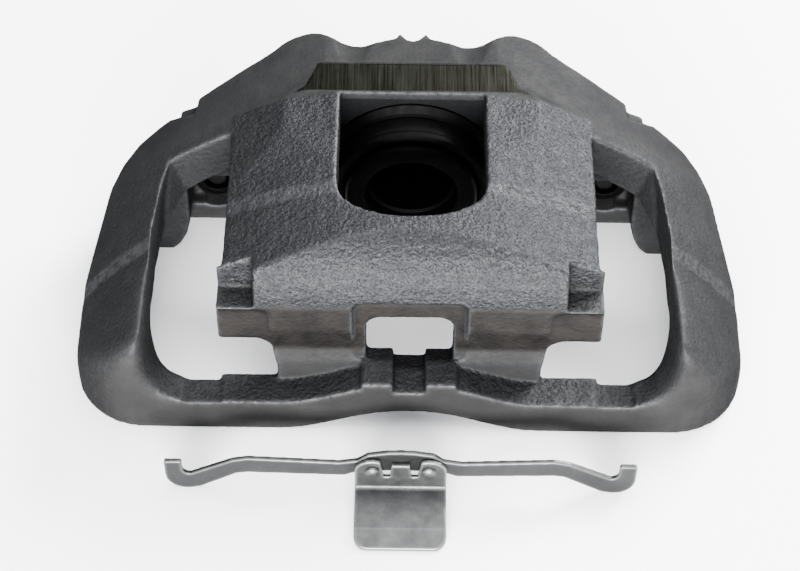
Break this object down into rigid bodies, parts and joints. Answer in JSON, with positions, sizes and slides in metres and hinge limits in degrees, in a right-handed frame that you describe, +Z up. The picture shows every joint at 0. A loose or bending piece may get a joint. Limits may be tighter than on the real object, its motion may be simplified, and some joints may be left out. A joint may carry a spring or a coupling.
{
  "type": "floating frame brake caliper",
  "caption": "Cast-iron floating frame brake caliper with piston, dust boot and guide pins, and its detached retaining spring clip lying in front.",
  "frame": {"origin": "on the surface that the caliper and the clip rest on, under the centre of their common bounding box", "axes": "+X to the right seen from the outboard side (along the disc's tangent), +Y inboard along the piston axis, +Z up and away from the wheel axle"},
  "size_m": [0.272, 0.2282, 0.0884],
  "materials": {
    "iron": "sand-cast, dark grey protective coat",
    "piston_steel": "dark satin",
    "zinc": "zinc plated",
    "rubber": "matte",
    "plug_plastic": "moulded"
  },
  "bodies": {
    "caliper": {"caliper_housing": "iron", "piston_seal": "rubber", "dust_boot": "rubber", "guide_bush_left": "rubber", "guide_bush_right": "rubber"},
    "piston_body": {"piston": "piston_steel"},
    "bleeder": {"bleeder_screw": "zinc"},
    "bleeder_cap_body": {"bleeder_cap": "rubber"},
    "port_plug": {"hose_port_plug": "plug_plastic"},
    "pin_left": {"guide_pin_left": "zinc"},
    "pin_right": {"guide_pin_right": "zinc"},
    "cap_left": {"guide_cap_left": "rubber"},
    "cap_right": {"guide_cap_right": "rubber"},
    "clip": {"clip_leaf": "zinc", "clip_plate": "zinc", "clip_rivet_left": "zinc", "clip_rivet_right": "zinc"}
  },
  "joints": [
    {"name": "piston_slide", "type": "slide", "parent": "caliper", "child": "piston_body", "axis": [0, -1, 0], "range_m": [0, 0.03], "deforming": ["dust_boot"]},
    {"name": "guide_pin_left_slide", "type": "slide", "parent": "caliper", "child": "pin_left", "axis": [0, -1, 0], "range_m": [0, 0.02]},
    {"name": "guide_pin_right_slide", "type": "slide", "parent": "caliper", "child": "pin_right", "axis": [0, -1, 0], "range_m": [0, 0.02]},
    {"name": "guide_cap_left_pull", "type": "slide", "parent": "caliper", "child": "cap_left", "axis": [0, 1, 0], "range_m": [0, 0.012]},
    {"name": "guide_cap_right_pull", "type": "slide", "parent": "caliper", "child": "cap_right", "axis": [0, 1, 0], "range_m": [0, 0.012]},
    {"name": "bleeder_turn", "type": "hinge", "parent": "caliper", "child": "bleeder", "pos_m": [-0.02, 0.1, 0.034], "axis": [0, 1, 0], "range_deg": [0, 360]},
    {"name": "bleeder_cap_pull", "type": "slide", "parent": "bleeder", "child": "bleeder_cap_body", "axis": [0, 1, 0], "range_m": [0, 0.012]},
    {"name": "port_plug_pull", "type": "slide", "parent": "caliper", "child": "port_plug", "axis": [0, 1, 0], "range_m": [0, 0.014]},
    {"name": "clip_fitting", "type": "hinge", "parent": "caliper", "child": "clip", "pos_m": [0, -0.0574, 0.00505], "axis": [-1, 0, 0], "range_deg": [0, 90]}
  ],
  "couplings": [
    {"joint": "guide_pin_right_slide", "follows": "guide_pin_left_slide", "ratio": 1}
  ]
}
